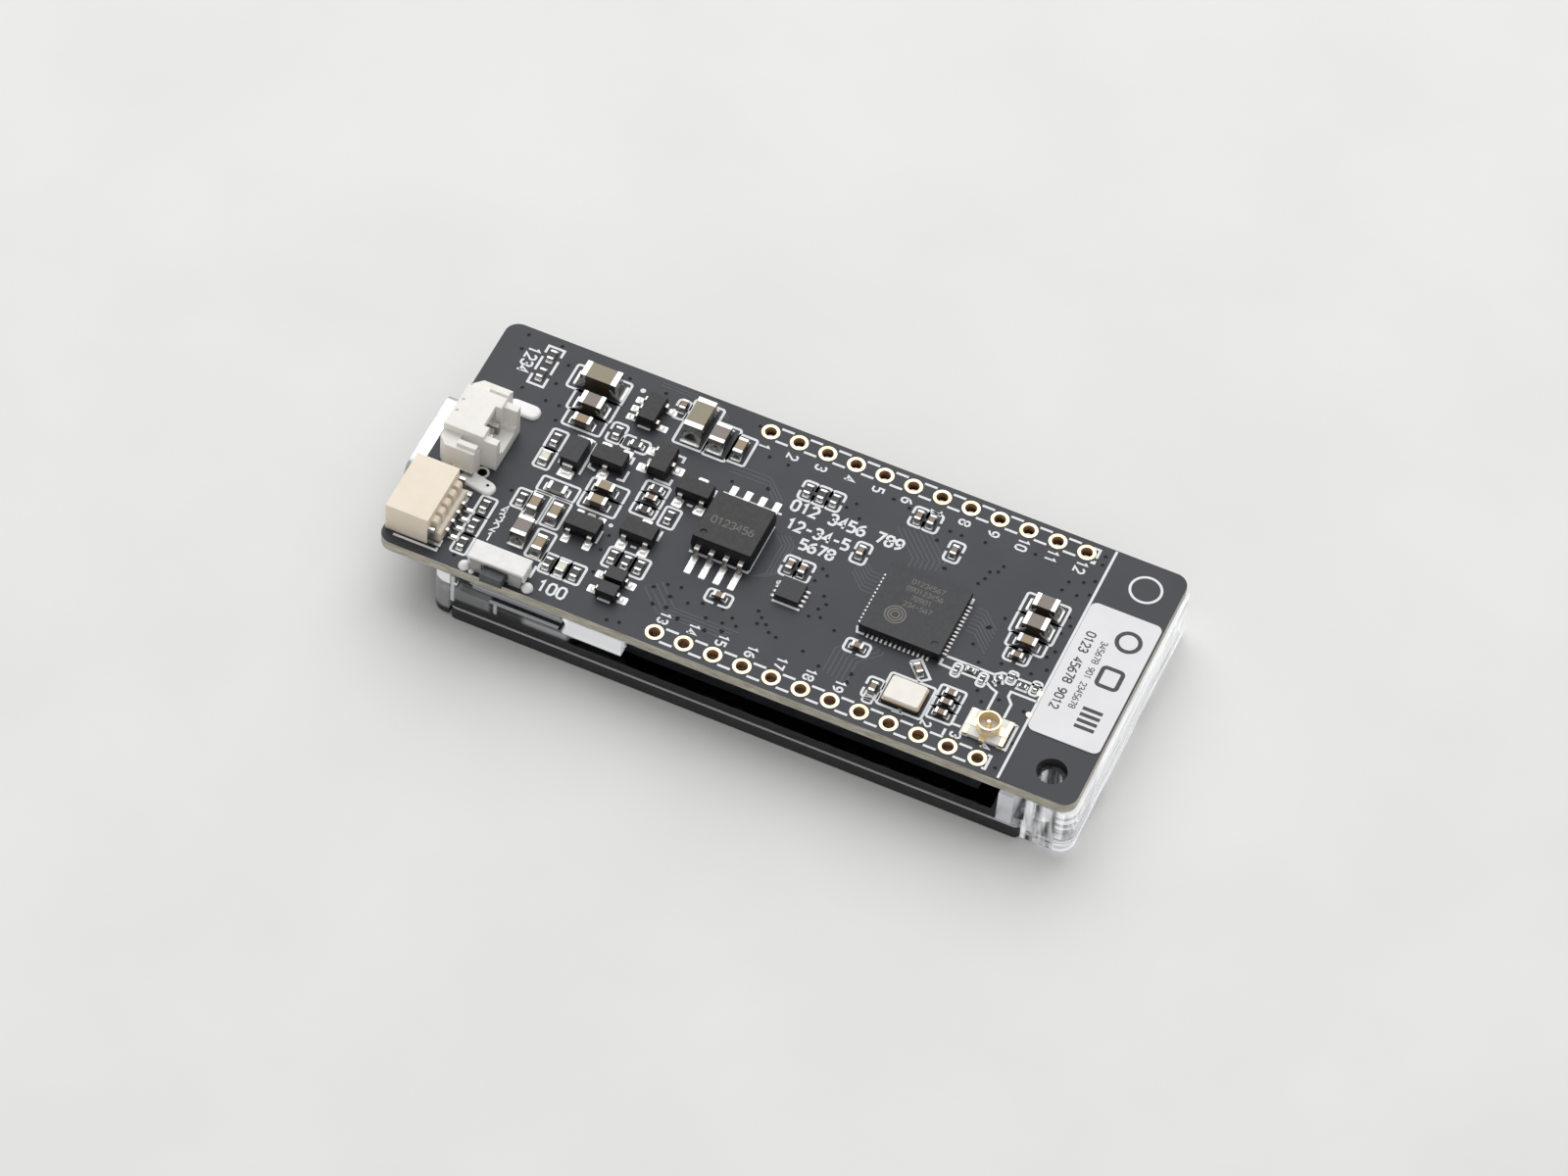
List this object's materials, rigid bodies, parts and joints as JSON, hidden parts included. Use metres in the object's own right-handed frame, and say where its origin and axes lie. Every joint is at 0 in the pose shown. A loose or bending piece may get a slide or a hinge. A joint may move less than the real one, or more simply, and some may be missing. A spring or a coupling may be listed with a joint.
{
  "type": "display development board",
  "caption": "Microcontroller board on a clear plastic frame with a small colour display, charging socket, battery and expansion sockets, press buttons and header holes.",
  "frame": {"origin": "on the display's glass face, below the centre of the 24 header holes", "axes": "+X along the board from the connector end to the label end, +Y across it, +Z out of the component side"},
  "size_m": [0.0624, 0.0261, 0.0099],
  "materials": {
    "solder_mask": "satin dark grey solder mask",
    "gold_plating": "pale gold plating",
    "label_paper": "matt white label",
    "clear_plastic": "clear moulded plastic",
    "foam": "black foam tape",
    "display_bezel": "black painted tray",
    "display_glass": "dark polished glass",
    "light_guide": "white light guide",
    "flex_film": "amber polyimide film",
    "flex_socket_plastic": "cream moulding",
    "flap_plastic": "dark brown moulding",
    "steel": "nickel-plated steel",
    "tin": "bright tin plating",
    "black_plastic": "black moulding",
    "white_nylon": "warm white nylon",
    "cream_nylon": "cream nylon",
    "switch_plastic": "grey moulding",
    "cover_white": "white cover",
    "plunger_grey": "dark grey moulding",
    "chip_black": "black epoxy",
    "flash_mould": "dark grey epoxy",
    "crystal_ceramic": "cream ceramic",
    "capacitor_tan": "tan ceramic",
    "resistor_black": "black glaze",
    "indicator_white": "milky lens"
  },
  "bodies": {
    "board": {"circuit_board": "solder_mask", "header_rings": "gold_plating", "label_sticker": "label_paper", "test_points": "gold_plating", "clear_frame": "clear_plastic", "display_foam": "foam", "display_tray": "display_bezel", "display_glass": "display_glass", "display_light_guide": "light_guide", "display_flex": "flex_film", "flex_socket": "flex_socket_plastic", "flex_flap": "flap_plastic", "usb_shell": "steel", "usb_tongue": "black_plastic", "usb_pegs": "black_plastic", "usb_contacts": "gold_plating", "battery_housing": "white_nylon", "battery_contacts": "tin", "battery_tabs": "tin", "expansion_housing": "cream_nylon", "expansion_contacts": "tin", "expansion_tabs": "tin", "reset_body": "switch_plastic", "reset_cover": "cover_white", "reset_legs": "tin", "button_bodies": "black_plastic", "button_covers": "steel", "button_legs": "tin", "switch_domes": "steel", "mcu_body": "chip_black", "mcu_pads": "tin", "flash_body": "flash_mould", "flash_leads": "tin", "logic_chip_body": "chip_black", "logic_chip_pads": "tin", "regulator_bodies": "chip_black", "regulator_leads": "tin", "transistor_bodies": "chip_black", "transistor_leads": "tin", "diode_bodies": "chip_black", "diode_leads": "tin", "crystal_base": "crystal_ceramic", "crystal_lid": "steel", "antenna_base": "white_nylon", "antenna_ring": "gold_plating", "antenna_pin": "gold_plating", "large_capacitor_bodies": "capacitor_tan", "large_capacitor_ends": "tin", "small_capacitor_bodies": "capacitor_tan", "small_capacitor_ends": "tin", "resistor_bodies": "resistor_black", "resistor_ends": "tin", "indicator_lights": "indicator_white", "indicator_ends": "tin"},
    "reset_button": {"reset_plunger": "plunger_grey"},
    "boot_button": {"boot_plunger": "plunger_grey"},
    "user_button": {"user_plunger": "plunger_grey"}
  },
  "joints": [
    {"name": "reset_press", "type": "slide", "parent": "board", "child": "reset_button", "axis": [0, 1, 0], "range_m": [0, 0.00025], "stiffness_N_per_m": 3000, "springref_m": -0.0002},
    {"name": "boot_press", "type": "slide", "parent": "board", "child": "boot_button", "axis": [0, 0, 1], "range_m": [0, 0.00025], "stiffness_N_per_m": 3000, "springref_m": -0.0002},
    {"name": "user_press", "type": "slide", "parent": "board", "child": "user_button", "axis": [0, 0, 1], "range_m": [0, 0.00025], "stiffness_N_per_m": 3000, "springref_m": -0.0002}
  ]
}
